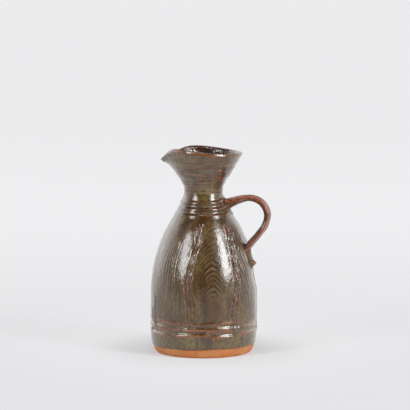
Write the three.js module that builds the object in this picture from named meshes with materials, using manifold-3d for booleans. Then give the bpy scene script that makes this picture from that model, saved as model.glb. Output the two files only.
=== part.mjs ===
// A small stoneware jug: a thrown body with a pulled spout, and a pulled strap handle luted to its collar.
// The handle's tail is pressed onto the flank and its end stands out as a nub. Glaze coats all but the foot.
// Millimetres, +Z up. The origin is the middle of the flat base, the handle is at +X and the spout at -X.

import * as THREE from "three";
import { mergeVertices } from "three/addons/utils/BufferGeometryUtils.js";
import Module from "manifold-3d";

// Thrown body: radii of the bare clay, and each station's rise above the one below it.
const FOOT_RADIUS = 47.2;
const HEEL_RADIUS = 49.8;
const HEEL_RISE = 5.5;
const BELLY_RADIUS = 52.4;
const BELLY_RISE = 36.5;
const FLANK_RADIUS = 49.3;
const FLANK_RISE = 44;
const SHOULDER_RADIUS = 38.2;
const SHOULDER_RISE = 33;
const COLLAR_RADIUS = 22.8;
const COLLAR_RISE = 28;
const WAIST_RADIUS = 17.7;
const WAIST_RISE = 16;
const THROAT_RADIUS = 28.3;
const THROAT_RISE = 18;
const LIP_RADIUS = 38.2;
const LIP_RISE = 20.1;
const FLOOR_THICKNESS = 8;
const FOOT_WALL = 6.5;
const FOOT_ROUNDING = 1.5;
const LIP_WALL = 3.2;
const LIP_ROUNDING = 1.4;

// Grooves turned into the leather-hard clay: rings round the collar and a belt low on the body.
const RING_COUNT = 3;
const RING_PITCH = 6;
const RING_DEPTH = 1;
const RING_WIDTH = 5;
const BELT_COUNT = 2;
const BELT_PITCH = 6.6;
const BELT_DEPTH = 0.8;
const BELT_WIDTH = 3;
const BELT_HEIGHT = 25;

// Spout: the lip is drawn out to a beak and bent down, and is pinched in beside it. The whole mouth leans: it
// is highest on a side that is turned from the spout towards -Y.
const BEAK_REACH = 5.6;
const BEAK_SPREAD_DEG = 21;
const BEAK_DROP = 13.4;
const DROP_SPREAD_DEG = 35;
const PINCH_IN = 1.2;
const PINCH_ANGLE_DEG = 58;
const PINCH_SPREAD_DEG = 24;
const LIP_TILT = 4.5;
const LIP_TILT_TURN_DEG = 27;
const MOUTH_BEND = 3.5;

// Glaze: one coat outside, from the glaze line to the lip's crest, and one inside.
const GLAZE_THICKNESS = 0.8;
const GLAZE_LINE = 8.5;

// Handle: a strap pulled from one lump of clay, thick at its root, thin over the loop, pressed on at its tail.
const ROOT_WIDTH = 14;
const ROOT_THICKNESS = 9;
const STRAP_WIDTH = 10;
const STRAP_THICKNESS = 4;
const TAIL_WIDTH = 11;
const TAIL_THICKNESS = 4.6;
const NUB_WIDTH = 9;
const NUB_THICKNESS = 3.2;
const NUB_REACH = 4.4;
const EAR_RADIUS = 17;
const EAR_DROP = 8;
const FINGER_ROOM = 22.5;
const EAR_ANGLES_DEG = [95, 52, 8, -36];
const LANDING_DROP = 43;
const TAIL_LENGTH = 14;
const ROOT_BURY = 4;

// Coil: a thin roll of clay worked in under the handle's root.
const COIL_DIAMETER = 3.2;

// Clearance between pieces that meet on cut faces.
const JOINT_GAP = 0.3;

// Mesh steps: columns round the axis, row heights on the walls, and half the sides and the steps of a bar.
const COLUMNS = 36;
const OUTSIDE_ROW = 8;
const INSIDE_ROW = 13;
const STRAP_HALF_SIDES = 6;
const STRAP_STEPS = 32;
const COIL_HALF_SIDES = 4;
const COIL_STEPS = 16;
const EDGE_SEARCH_STEPS = 300;
const MERGE_DISTANCE = 1e-4;

const wasm = await Module();
wasm.setup();

// Heights of the stations, from the base up.
const heelHeight = HEEL_RISE;
const bellyHeight = heelHeight + BELLY_RISE;
const flankHeight = bellyHeight + FLANK_RISE;
const shoulderHeight = flankHeight + SHOULDER_RISE;
const collarHeight = shoulderHeight + COLLAR_RISE;
const waistHeight = collarHeight + WAIST_RISE;
const throatHeight = waistHeight + THROAT_RISE;
const lipHeight = throatHeight + LIP_RISE;
const lipEdge = lipHeight - LIP_ROUNDING;

// A smooth curve through values at given places, as a function of the place.
function smoothThrough(places, values) {
  const curve = new THREE.CubicInterpolant(places, values, 1, new Float64Array(1));
  return (place) => curve.evaluate(place)[0];
}

const thrownRadius = smoothThrough(
  [
    0, heelHeight, bellyHeight, flankHeight, shoulderHeight,
    collarHeight, waistHeight, throatHeight, lipHeight,
  ],
  [
    FOOT_RADIUS, HEEL_RADIUS, BELLY_RADIUS, FLANK_RADIUS, SHOULDER_RADIUS,
    COLLAR_RADIUS, WAIST_RADIUS, THROAT_RADIUS, LIP_RADIUS,
  ],
);

const evenly = (count, make) => Array.from({ length: count }, (_, index) => make(index));

// The rings are centred on the collar, and the belt grooves rise from the belt's height.
const grooves = [
  ...evenly(RING_COUNT, (index) => ({
    height: collarHeight + (index - (RING_COUNT - 1) / 2) * RING_PITCH,
    depth: RING_DEPTH,
    halfWidth: RING_WIDTH / 2,
  })),
  ...evenly(BELT_COUNT, (index) => ({
    height: BELT_HEIGHT + index * BELT_PITCH,
    depth: BELT_DEPTH,
    halfWidth: BELT_WIDTH / 2,
  })),
];

function grooveDepth(height) {
  return grooves.reduce(
    (deepest, groove) =>
      Math.max(deepest, groove.depth * (1 - Math.abs(height - groove.height) / groove.halfWidth)),
    0,
  );
}

const clayRadius = (height) => thrownRadius(height) - grooveDepth(height);

function wallThickness(height) {
  return THREE.MathUtils.mapLinear(height, FLOOR_THICKNESS, lipHeight, FOOT_WALL, LIP_WALL);
}

const insideRadius = (height) => thrownRadius(height) - wallThickness(height);

// Row heights: even steps, with the steps that crowd a fixed row left out.
function rowHeights(from, to, step, fixed) {
  const count = Math.max(1, Math.round((to - from) / step));
  const even = evenly(count + 1, (index) => THREE.MathUtils.lerp(from, to, index / count));
  const clear = even.filter((height) => fixed.every((row) => Math.abs(row - height) > step / 3));
  return [...new Set([...clear, ...fixed, from, to])].sort((a, b) => a - b);
}

// Outline of the clay, from the foot's edge up the outside, over the lip and down the inside to the floor.
const grooveRows = grooves.flatMap((groove) => [
  groove.height - groove.halfWidth,
  groove.height,
  groove.height + groove.halfWidth,
]);
const outsideHeights = rowHeights(heelHeight, lipEdge, OUTSIDE_ROW, [GLAZE_LINE, waistHeight, ...grooveRows]);
const outside = [
  new THREE.Vector2(FOOT_RADIUS, 0),
  ...[FOOT_ROUNDING, ...outsideHeights].map((height) => new THREE.Vector2(clayRadius(height), height)),
];
const crest = new THREE.Vector2(LIP_RADIUS - LIP_WALL / 2, lipHeight);
const glazedCrest = crest.clone().setY(lipHeight + GLAZE_THICKNESS);
const insideHeights = rowHeights(FLOOR_THICKNESS + FOOT_WALL, lipEdge, INSIDE_ROW, [waistHeight]).reverse();
const inside = [
  ...insideHeights.map((height) => new THREE.Vector2(insideRadius(height), height)),
  new THREE.Vector2(insideRadius(FLOOR_THICKNESS) - FOOT_WALL, FLOOR_THICKNESS),
];

// The same outline moved along its normals, to the right of the way it runs.
function offsetOutline(outline, distance) {
  return outline.map((point, index) => {
    const before = outline[Math.max(index - 1, 0)];
    const after = outline[Math.min(index + 1, outline.length - 1)];
    const along = after.clone().sub(before).normalize();
    return point.clone().add(new THREE.Vector2(along.y, -along.x).multiplyScalar(distance));
  });
}

// Moves the vertices of anything turned on the wheel as the potter's fingers move the mouth.
const bell = (angle, spread) => Math.exp(-((angle / spread) ** 2));

function pullSpout(geometry) {
  const place = geometry.getAttribute("position");
  for (let index = 0; index < place.count; index++) {
    const [x, y, z] = [place.getX(index), place.getY(index), place.getZ(index)];
    const share = Math.max(0, (z - waistHeight) / (lipHeight - waistHeight)) ** MOUTH_BEND;
    const radius = Math.hypot(x, y);
    if (share === 0 || radius === 0) continue;
    const turn = THREE.MathUtils.radToDeg(Math.atan2(-y, -x));
    const lean = LIP_TILT * Math.cos(THREE.MathUtils.degToRad(turn - LIP_TILT_TURN_DEG));
    const reach = BEAK_REACH * bell(turn, BEAK_SPREAD_DEG);
    const drop = BEAK_DROP * bell(turn, DROP_SPREAD_DEG);
    const pinch = PINCH_IN * bell(Math.abs(turn) - PINCH_ANGLE_DEG, PINCH_SPREAD_DEG);
    const outward = 1 + (share * (reach - pinch)) / radius;
    place.setXYZ(index, x * outward, y * outward, z + share * (lean - drop));
  }
  return geometry;
}

// An outline turned on the wheel: its points are radius and height, and it runs up the outside. Where it runs
// down, its quads are split the other way, so that pieces with a common stretch of outline share triangles.
function turned(outline) {
  const geometry = new THREE.LatheGeometry(outline, COLUMNS);
  const rows = outline.length - 1;
  for (let quad = 0; quad < COLUMNS * rows; quad++) {
    const row = quad % rows;
    if (outline[row + 1].y >= outline[row].y) continue;
    const a = row + Math.floor(quad / rows) * outline.length;
    const b = a + outline.length;
    const corners = [a, b, b + 1, a, b + 1, a + 1];
    corners.forEach((vertex, corner) => geometry.index.setX(corners.length * quad + corner, vertex));
  }
  return pullSpout(geometry.rotateX(Math.PI / 2));
}

// Solids: a geometry with its shared vertices merged, and back again.
function solidOf(geometry) {
  const bare = new THREE.BufferGeometry().setIndex(geometry.index);
  bare.setAttribute("position", geometry.getAttribute("position"));
  const merged = mergeVertices(bare, MERGE_DISTANCE);
  const corners = [];
  for (let face = 0; face < merged.index.count; face += 3) {
    const triangle = [0, 1, 2].map((corner) => merged.index.getX(face + corner));
    if (new Set(triangle).size === 3) corners.push(...triangle);
  }
  const mesh = new wasm.Mesh({
    numProp: 3,
    vertProperties: merged.getAttribute("position").array,
    triVerts: new Uint32Array(corners),
  });
  return new wasm.Manifold(mesh);
}

function geometryOf(solid) {
  const mesh = solid.getMesh();
  const geometry = new THREE.BufferGeometry();
  geometry.setAttribute("position", new THREE.BufferAttribute(mesh.vertProperties, 3));
  geometry.setIndex(new THREE.BufferAttribute(mesh.triVerts, 1));
  geometry.computeVertexNormals();
  return geometry;
}

// The thrown clay, filled in and grown by some distance: what the pieces that are luted on are cut back by.
const onAxis = (height) => new THREE.Vector2(0, height);

function filledBody(grow) {
  return solidOf(turned([onAxis(0), ...offsetOutline([...outside, crest], grow), onAxis(lipHeight)]));
}

function stonewareBody() {
  return turned([onAxis(0), ...outside, crest, ...inside, onAxis(FLOOR_THICKNESS)]);
}

function outerCoat() {
  const covered = [...outside.filter((point) => point.y >= GLAZE_LINE), crest];
  const surface = offsetOutline(covered, GLAZE_THICKNESS);
  surface[surface.length - 1] = glazedCrest;
  return turned([...surface, ...covered.reverse(), surface[0]]);
}

function linerCoat() {
  const covered = [crest, ...inside, onAxis(FLOOR_THICKNESS)];
  const surface = offsetOutline(covered, GLAZE_THICKNESS);
  surface[0] = glazedCrest;
  surface[surface.length - 1] = onAxis(FLOOR_THICKNESS + GLAZE_THICKNESS);
  return turned([...covered.reverse(), ...surface]);
}

// Centreline of the handle in the XZ plane: out of the collar, over the loop and down the flank to the nub.
const rootHeight = collarHeight;
const landingHeight = rootHeight - LANDING_DROP;
const nubHeight = landingHeight - TAIL_LENGTH;
const rootReach = thrownRadius(rootHeight);
const landingReach = thrownRadius(landingHeight);
const loopReach = landingReach + FINGER_ROOM;
const inHandlePlane = (reach, height) => new THREE.Vector3(reach, 0, height);

function onEar(angle) {
  const turn = THREE.MathUtils.degToRad(angle);
  const reach = loopReach - EAR_RADIUS + EAR_RADIUS * Math.cos(turn);
  return inHandlePlane(reach, rootHeight - EAR_DROP + EAR_RADIUS * Math.sin(turn));
}

const tailHeight = (landingHeight + nubHeight) / 2;
const centreline = new THREE.CatmullRomCurve3(
  [
    inHandlePlane(rootReach - ROOT_BURY, rootHeight - ROOT_BURY / 2),
    inHandlePlane(rootReach + ROOT_BURY, rootHeight + ROOT_BURY / 4),
    ...EAR_ANGLES_DEG.map(onEar),
    inHandlePlane(landingReach + TAIL_THICKNESS / 4, landingHeight),
    inHandlePlane(thrownRadius(tailHeight) + TAIL_THICKNESS / 4, tailHeight),
    inHandlePlane(thrownRadius(nubHeight) + NUB_REACH, nubHeight),
  ],
  false,
  "centripetal",
);

// Widths and thicknesses of the strap: each station has its place as a share of the centreline's length.
const taper = [
  { share: 0, width: ROOT_WIDTH, thickness: ROOT_THICKNESS },
  { share: 0.16, width: STRAP_WIDTH, thickness: STRAP_THICKNESS },
  { share: 0.45, width: STRAP_WIDTH, thickness: STRAP_THICKNESS },
  { share: 0.7, width: STRAP_WIDTH, thickness: STRAP_THICKNESS },
  { share: 0.86, width: TAIL_WIDTH, thickness: TAIL_THICKNESS },
  { share: 1, width: NUB_WIDTH, thickness: NUB_THICKNESS },
];
const taperShares = taper.map((station) => station.share);
const strapWidth = smoothThrough(taperShares, taper.map((station) => station.width));
const strapThickness = smoothThrough(taperShares, taper.map((station) => station.thickness));

// A point of the strap's skin: share runs along the centreline, and the section's own point is a unit vector
// across and outwards.
const across = new THREE.Vector3(0, 1, 0);

function strapPoint(share, section, grow) {
  const along = centreline.getTangentAt(share);
  const outward = along.clone().cross(across);
  const point = centreline.getPointAt(share);
  point.addScaledVector(across, section.x * (strapWidth(share) / 2 + grow));
  point.addScaledVector(outward, section.y * (strapThickness(share) / 2 + grow));
  if (share === 1) point.addScaledVector(along, grow);
  return point;
}

// A straight bar of round section, bent along the centreline, tapered, and grown all round.
function strap(grow) {
  const round = new THREE.Shape().absellipse(0, 0, 1, 1, 0, 2 * Math.PI);
  const bar = new THREE.ExtrudeGeometry(round, {
    depth: 1,
    steps: STRAP_STEPS,
    curveSegments: STRAP_HALF_SIDES,
    bevelEnabled: false,
  });
  const place = bar.getAttribute("position");
  for (let index = 0; index < place.count; index++) {
    const section = new THREE.Vector2(place.getX(index), place.getY(index));
    place.setXYZ(index, ...strapPoint(place.getZ(index), section, grow));
  }
  return solidOf(bar);
}

// Where the strap's skin comes out of the clay at the root, on one side of its section.
function rootEdge(section) {
  const skin = evenly(EDGE_SEARCH_STEPS, (step) => strapPoint(step / EDGE_SEARCH_STEPS, section, 0));
  return skin.find((point) => Math.hypot(point.x, point.y) >= thrownRadius(point.z));
}

// The coil runs in a U along that edge, under the root and up both its sides.
function coil(grow) {
  const path = new THREE.CatmullRomCurve3(
    evenly(COIL_STEPS / 2 + 1, (index) => {
      const turn = Math.PI * (1 + index / (COIL_STEPS / 2));
      return rootEdge(new THREE.Vector2(Math.cos(turn), Math.sin(turn)));
    }),
  );
  const radius = COIL_DIAMETER / 2 + grow;
  const round = new THREE.Shape().absellipse(0, 0, radius, radius, 0, 2 * Math.PI);
  return solidOf(
    new THREE.ExtrudeGeometry(round, {
      extrudePath: path,
      steps: COIL_STEPS,
      curveSegments: COIL_HALF_SIDES,
      bevelEnabled: false,
    }),
  );
}

// The assembly: clay first, then the coats, each piece cut back from what it meets.
const jug = new THREE.Group();

function add(name, geometry, color, roughness) {
  const mesh = new THREE.Mesh(geometry, new THREE.MeshStandardMaterial({ color, roughness, metalness: 0 }));
  mesh.name = name;
  jug.add(mesh);
}

const clayCut = filledBody(JOINT_GAP);
const glazeCut = filledBody(GLAZE_THICKNESS + JOINT_GAP);
const strapCut = strap(JOINT_GAP);
const coilCut = coil(JOINT_GAP);
const bareStrap = strap(0);
const glazedStrap = strap(GLAZE_THICKNESS);

const handle = bareStrap.subtract(clayCut);
const rootCoil = coil(0).subtract(clayCut).subtract(strapCut);
const outerGlaze = solidOf(outerCoat()).subtract(strapCut).subtract(coilCut);
const handleGlaze = glazedStrap.subtract(bareStrap).subtract(glazeCut).subtract(coilCut);

add("stoneware_body", stonewareBody(), 0xb9733f, 0.9);
add("pulled_handle", geometryOf(handle), 0xb9733f, 0.9);
add("root_coil", geometryOf(rootCoil), 0x54402a, 0.25);
add("outer_glaze", geometryOf(outerGlaze), 0x4b4029, 0.15);
add("liner_glaze", linerCoat(), 0x2e211a, 0.12);
add("handle_glaze", geometryOf(handleGlaze), 0x6b3420, 0.2);

export default jug;
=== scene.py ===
import math

import bpy
import numpy as np
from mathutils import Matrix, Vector, noise


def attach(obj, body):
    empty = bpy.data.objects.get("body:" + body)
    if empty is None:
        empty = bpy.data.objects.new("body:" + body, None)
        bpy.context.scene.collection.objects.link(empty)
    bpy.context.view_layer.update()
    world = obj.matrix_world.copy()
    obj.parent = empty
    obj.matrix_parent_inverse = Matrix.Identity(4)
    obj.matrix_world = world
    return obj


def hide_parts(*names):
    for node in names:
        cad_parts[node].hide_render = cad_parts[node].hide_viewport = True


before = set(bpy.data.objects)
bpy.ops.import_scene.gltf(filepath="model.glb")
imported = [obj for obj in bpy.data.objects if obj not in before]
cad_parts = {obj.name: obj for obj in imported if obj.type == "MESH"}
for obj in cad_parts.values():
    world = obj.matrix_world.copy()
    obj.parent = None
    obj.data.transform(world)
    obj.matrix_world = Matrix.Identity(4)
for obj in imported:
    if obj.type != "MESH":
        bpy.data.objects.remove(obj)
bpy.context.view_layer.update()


# Thrown body: one lump of buff, sandy stoneware, thrown on the wheel and turned to a bevel at the foot.
# The foot is left bare and toasts orange in the kiln. The spout is drawn out of the lip with the fingers.
MM = 0.001
STATION_HEIGHTS = (0, 5.5, 42, 86, 119, 147, 163, 181, 201.1)
STATION_RADII = (47.2, 49.8, 52.4, 49.3, 38.2, 22.8, 17.7, 28.3, 38.2)
FLOOR_THICKNESS = 8
FOOT_WALL = 6.5
LIP_WALL = 3.2
LIP_HEIGHT = 201.1
WAIST_HEIGHT = 163
CREST_RADIUS = 36.6
CLAY_LIP = 199.6
CLAY_COLUMNS = 240


def smooth_through(places, values, at):
    """A smooth curve through values at given places, read at other places."""
    places = np.asarray(places, float)
    values = np.asarray(values, float)
    at = np.asarray(at, float)
    last = len(places) - 2
    i = np.clip(np.searchsorted(places, at, side="right") - 1, 0, last)
    t0, t1 = places[i], places[i + 1]
    before = np.where(i == 0, i + 1, i - 1)
    after = np.where(i == last, i, np.minimum(i + 2, last + 1))
    t_before, t_after = places[before], places[after]
    half = (t1 - t0) / 2
    w0 = half / (t0 - t_before)
    w1 = half / (t_after - t1)
    p = (at - t0) / (t1 - t0)
    q, c = p * p, p * p * p
    return (
        (-w0 * c + 2 * w0 * q - w0 * p) * values[before]
        + ((1 + w0) * c - (1.5 + 2 * w0) * q + (w0 - 0.5) * p + 1) * values[i]
        + (-(1 + w1) * c + (1.5 + w1) * q + 0.5 * p) * values[i + 1]
        + (w1 * c - w1 * q) * values[after]
    )


def thrown_radius(height):
    return smooth_through(STATION_HEIGHTS, STATION_RADII, height)


def inside_radius(height):
    share = (np.asarray(height, float) - FLOOR_THICKNESS) / (LIP_HEIGHT - FLOOR_THICKNESS)
    return thrown_radius(height) - (FOOT_WALL + (LIP_WALL - FOOT_WALL) * share)


def fade(value, start, end):
    """0 before start, 1 after end, and smooth between."""
    t = np.clip((np.asarray(value, float) - start) / (end - start), 0, 1)
    return t * t * (3 - 2 * t)


def bell(offset, spread):
    return np.exp(-((offset / spread) ** 2))


def pull_spout(x, y, z):
    """Moves points of the mouth as the potter's fingers do: beak, pinch beside it, and a slight lean."""
    share = np.clip((z - WAIST_HEIGHT) / (LIP_HEIGHT - WAIST_HEIGHT), 0, None) ** 3.5
    radius = np.maximum(np.hypot(x, y), 1e-6)
    turn = np.degrees(np.arctan2(-y, -x))
    back = 180 - np.abs(turn)
    reach = 5.9 * bell(turn, 21) - 1.5 * bell(np.abs(turn) - 54, 20) + 1.2 * bell(back, 45)
    lift = 3.8 * np.cos(np.radians(turn - 27)) - 14.7 * bell(turn, 32) + 1.6 * bell(back, 38)
    outward = 1 + share * reach / radius
    return x * outward, y * outward, z + share * lift


def soft_noise(x, y, z, size, seed):
    """Smooth noise between about -1 and 1, with features of the given size in millimetres."""
    shift = 17.3 * seed
    return np.array([
        noise.noise(Vector((a / size + shift, b / size - shift, c / size + 2 * shift)))
        for a, b, c in zip(x, y, z)
    ])


def only(piece):
    """Selects one object and nothing else."""
    bpy.ops.object.select_all(action="DESELECT")
    piece.select_set(True)
    bpy.context.view_layer.objects.active = piece


def draw(name, outline):
    """An outline of radii and heights in millimetres, drawn as a line in the XZ plane and made a mesh."""
    drawing = bpy.data.curves.new(name, "CURVE")
    drawing.dimensions = "3D"
    line = drawing.splines.new("POLY")
    line.points.add(len(outline) - 1)
    for point, (radius, height) in zip(line.points, outline):
        point.co = (radius * MM, 0, height * MM, 1)
    piece = bpy.data.objects.new(name, drawing)
    bpy.context.scene.collection.objects.link(piece)
    only(piece)
    bpy.ops.object.convert(target="MESH")
    return bpy.context.object


def sweep_round(piece, angle, columns):
    """Sweeps a drawn line round the Z axis with a screw modifier, which is applied."""
    only(piece)
    bpy.ops.object.modifier_add(type="SCREW")
    wheel = piece.modifiers[-1]
    wheel.axis = "Z"
    wheel.angle = angle
    wheel.steps = columns
    wheel.render_steps = columns
    wheel.use_merge_vertices = True
    wheel.merge_threshold = 1e-6
    bpy.ops.object.modifier_apply(modifier=wheel.name)


def turn_outline(name, outline, columns):
    """An outline turned on the wheel: swept right round, closed, and facing outwards."""
    piece = draw(name, outline)
    sweep_round(piece, 2 * math.pi, columns)
    bpy.ops.object.mode_set(mode="EDIT")
    bpy.ops.mesh.select_all(action="SELECT")
    bpy.ops.mesh.remove_doubles(threshold=1e-6)
    bpy.ops.mesh.normals_make_consistent(inside=False)
    bpy.ops.object.mode_set(mode="OBJECT")
    bpy.ops.object.shade_smooth()
    return piece


def mesh_points(piece):
    """The piece's vertices as three rows, in the units of its mesh."""
    flat = np.empty(len(piece.data.vertices) * 3)
    piece.data.vertices.foreach_get("co", flat)
    return flat.reshape(-1, 3).T


def points_of(piece):
    """The piece's vertices as three rows of millimetres."""
    return mesh_points(piece) / MM


def move_points(piece, x, y, z):
    flat = np.stack((x, y, z), axis=1).ravel() * MM
    piece.data.vertices.foreach_set("co", flat)
    piece.data.update()


class Finish:
    """A material, and short ways to add and join its nodes."""

    def __init__(self, name):
        self.material = bpy.data.materials.new(name)
        self.material.use_nodes = True
        self.nodes = self.material.node_tree.nodes
        self.links = self.material.node_tree.links
        self.shader = self.nodes["Principled BSDF"]
        self.place = self.nodes.new("ShaderNodeTexCoord").outputs["Object"]

    def feed(self, value, socket):
        if isinstance(value, bpy.types.NodeSocket):
            self.links.new(value, socket)
        else:
            socket.default_value = value

    def stretched(self, x, y, z):
        node = self.nodes.new("ShaderNodeMapping")
        node.inputs["Scale"].default_value = (x, y, z)
        self.links.new(self.place, node.inputs["Vector"])
        return node.outputs["Vector"]

    def grain(self, size, detail=2.0, place=None):
        """Noise from 0 to 1, with features of about size millimetres."""
        node = self.nodes.new("ShaderNodeTexNoise")
        node.inputs["Scale"].default_value = 1 / (size * MM)
        node.inputs["Detail"].default_value = detail
        self.links.new(place or self.place, node.inputs["Vector"])
        return node.outputs["Fac"]

    def noted(self, name):
        node = self.nodes.new("ShaderNodeAttribute")
        node.attribute_name = name
        return node.outputs["Fac"]

    def height(self):
        node = self.nodes.new("ShaderNodeSeparateXYZ")
        self.links.new(self.place, node.inputs[0])
        return node.outputs["Z"]

    def spread(self, value, low, high, to_low=0.0, to_high=1.0):
        """Maps low..high of a value onto to_low..to_high, smoothly."""
        node = self.nodes.new("ShaderNodeMapRange")
        node.interpolation_type = "SMOOTHSTEP"
        self.feed(value, node.inputs["Value"])
        node.inputs["From Min"].default_value = low
        node.inputs["From Max"].default_value = high
        node.inputs["To Min"].default_value = to_low
        node.inputs["To Max"].default_value = to_high
        return node.outputs["Result"]

    def teeth_of(self, name, count):
        """A wave from 0 to 1 that rises and falls count times while a noted number goes from 0 to 1."""
        node = self.nodes.new("ShaderNodeMath")
        node.operation = "PINGPONG"
        node.inputs[1].default_value = 0.5 / count
        self.links.new(self.noted(name), node.inputs[0])
        return self.spread(node.outputs["Value"], 0.12 / count, 0.38 / count)

    def work(self, operation, a, b):
        node = self.nodes.new("ShaderNodeMath")
        node.operation = operation
        node.use_clamp = True
        self.feed(a, node.inputs[0])
        self.feed(b, node.inputs[1])
        return node.outputs["Value"]

    def times(self, a, b):
        return self.work("MULTIPLY", a, b)

    def most(self, a, b):
        return self.work("MAXIMUM", a, b)

    def mix(self, share, a, b):
        node = self.nodes.new("ShaderNodeMix")
        node.data_type = "RGBA"
        self.feed(share, node.inputs["Factor"])
        self.feed(a, node.inputs["A"])
        self.feed(b, node.inputs["B"])
        return node.outputs["Result"]

    def bump(self, height, depth, below=None):
        """Relief of the given depth in millimetres, added to the relief below it."""
        node = self.nodes.new("ShaderNodeBump")
        node.inputs["Strength"].default_value = 1.0
        node.inputs["Distance"].default_value = depth * MM
        self.links.new(height, node.inputs["Height"])
        if below:
            self.links.new(below, node.inputs["Normal"])
        return node.outputs["Normal"]

    def use(self, piece, color, roughness, normal):
        self.feed(color, self.shader.inputs["Base Color"])
        self.feed(roughness, self.shader.inputs["Roughness"])
        self.links.new(normal, self.shader.inputs["Normal"])
        piece.data.materials.append(self.material)


TOAST = (0.62, 0.2, 0.058, 1)
PALE_CLAY = (0.67, 0.285, 0.112, 1)
SCORCH = (0.21, 0.07, 0.028, 1)
SAND = (0.64, 0.37, 0.2, 1)

base_outline = [(r, 0.07 - 0.07 * math.cos(r * 2 * math.pi / 4.1)) for r in np.linspace(0, 44.5, 40)]
foot_edge = [(45.9, 0.0), (46.6, 0.12), (47.0, 0.45), (47.35, 1.0)]
foot_band = [(thrown_radius(z) - 0.03 * math.cos(z * 5.2), z) for z in np.arange(1.6, 10.4, 0.4)]
under_glaze = [(thrown_radius(z) - 2.2 * fade(z, 10.2, 14), z) for z in np.arange(10.6, 199, 2.6)]
clay_crest = [
    (thrown_radius(CLAY_LIP) - 2.0, CLAY_LIP),
    (CREST_RADIUS - 0.6, 200.5),
    (inside_radius(CLAY_LIP) + 0.3, CLAY_LIP),
]
clay_inside = [(inside_radius(z) + 0.15, z) for z in np.arange(197, 14, -4.5)]
floor_edge = inside_radius(FLOOR_THICKNESS) - FOOT_WALL
clay_floor = [(floor_edge, FLOOR_THICKNESS), (20, FLOOR_THICKNESS), (0, FLOOR_THICKNESS)]
clay_outline = base_outline + foot_edge + foot_band + under_glaze + clay_crest + clay_inside + clay_floor
thrown_body = turn_outline("thrown_body", clay_outline, CLAY_COLUMNS)

x, y, z = points_of(thrown_body)
foot_share = (z > 0.4) * (z < 10.4)
rough = 0.06 * soft_noise(x, y, z, 2.2, 1) + 0.12 * soft_noise(x, y, z, 11, 2)
grow = 1 + foot_share * (rough - 0.08) / np.maximum(np.hypot(x, y), 1)
move_points(thrown_body, *pull_spout(x * grow, y * grow, z))

clay = Finish("bare_stoneware")
toasted = clay.spread(clay.grain(14, 4), 0.38, 0.62)
flashed = clay.mix(toasted, PALE_CLAY, TOAST)
sandy = clay.mix(clay.spread(clay.grain(0.8, 2), 0.55, 0.72, 0, 0.6), flashed, SAND)
specked = clay.mix(clay.spread(clay.grain(1.4, 2), 0.6, 0.7, 0, 0.8), sandy, SCORCH)
turning = clay.grain(1.6, 2, clay.stretched(0.05, 0.05, 1.4))
lined = clay.mix(clay.spread(turning, 0.52, 0.75, 0, 0.4), specked, SCORCH)
edge = clay.spread(clay.height(), 7.4 * MM, 9.8 * MM, 0, 0.5)
clay_relief = clay.bump(turning, 0.14, clay.bump(clay.grain(0.7, 4), 0.2))
clay.use(thrown_body, clay.mix(edge, lined, SCORCH), clay.spread(toasted, 0, 1, 0.92, 0.72), clay_relief)
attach(thrown_body, "root")
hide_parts("stoneware_body")


# Outer coat: an iron glaze, dipped from the wavy glaze line near the foot up to the crest of the lip.
# It runs over the collar's turned rings, two scored belts and panels combed into the leather-hard clay.
# It lies olive in the hollows, brown on the flats, and breaks rust red where an edge leaves it thin.
GLAZE = 0.8
GLAZE_LINE = 8.5
COAT_TOP = 198.6
COAT_COLUMNS = 500
COAT_ROWS = 172
WIDEST = 53.2
FACE_TURN = math.radians(-74)
HANDLE_TURN = math.radians(74)
SPOUT_TURN = math.radians(-106)
PANELS = 7
RIGHT_PANEL = 1
SPOUT_PANEL = 5
LEFT_PANEL = 6
RIGHT_BORDER = 1
SHORT_BORDER = 6
PANEL_ANGLE = 2 * math.pi / PANELS
FIRST_PANEL = math.radians(11.5)
PANEL_TOP = 134
PANEL_BOTTOM = 35
BELTS = (25.0, 31.7)
RINGS = (141.6, 147.9, 154.0)

# Rows of the outline lie closer where the glaze carries more detail: at the belts, rings and funnel.
fine_heights = np.linspace(GLAZE_LINE + 0.5, COAT_TOP, 4000)
fine_radii = thrown_radius(fine_heights)
closeness = 0.6 + 1.6 * bell(fine_heights - 28.5, 8) + bell(fine_heights - 147.5, 11)
closeness += 0.45 * fade(fine_heights, 152, 162)
fine_steps = closeness[1:] * np.hypot(np.diff(fine_radii), np.diff(fine_heights))
fine_lengths = np.concatenate(([0], np.cumsum(fine_steps)))
row_lengths = np.linspace(0, fine_lengths[-1], COAT_ROWS)
row_heights = np.interp(row_lengths, fine_lengths, fine_heights)
row_radii = thrown_radius(row_heights)
row_slopes = np.gradient(row_radii, row_heights)
row_lean = 1 / np.hypot(1, row_slopes)
coat_surface = list(zip(row_radii + GLAZE * row_lean, row_heights - GLAZE * row_lean * row_slopes))
hem_radius = thrown_radius(GLAZE_LINE)
coat_edge = [(thrown_radius(8.6) - 0.15, 8.75), (hem_radius + 0.2, GLAZE_LINE), (hem_radius + 0.62, 8.62)]
lip_radius, lip_base = coat_surface[-1]
lip_width = lip_radius - CREST_RADIUS + 0.12
lip_rise = LIP_HEIGHT + GLAZE - lip_base - 0.4
lip_arc = [
    (CREST_RADIUS + lip_width * math.cos(t), lip_base + 0.4 + lip_rise * math.sin(t))
    for t in np.radians((4, 18, 34, 52, 70, 90))
]
coat_back = [(CREST_RADIUS, 201.0), (thrown_radius(CLAY_LIP) - 1.6, 199.8)]
coat_back += [(thrown_radius(z) - 0.15 - 1.85 * fade(z, 10.2, 14), z) for z in np.linspace(197.5, 10.5, 12)]
coat_outline = coat_edge + coat_surface + lip_arc + coat_back + coat_edge[:1]
outer_coat = turn_outline("outer_coat", coat_outline, COAT_COLUMNS)


def wrapped(angle):
    """The same angle, from minus half a turn to half a turn."""
    return (angle + math.pi) % (2 * math.pi) - math.pi


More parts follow.
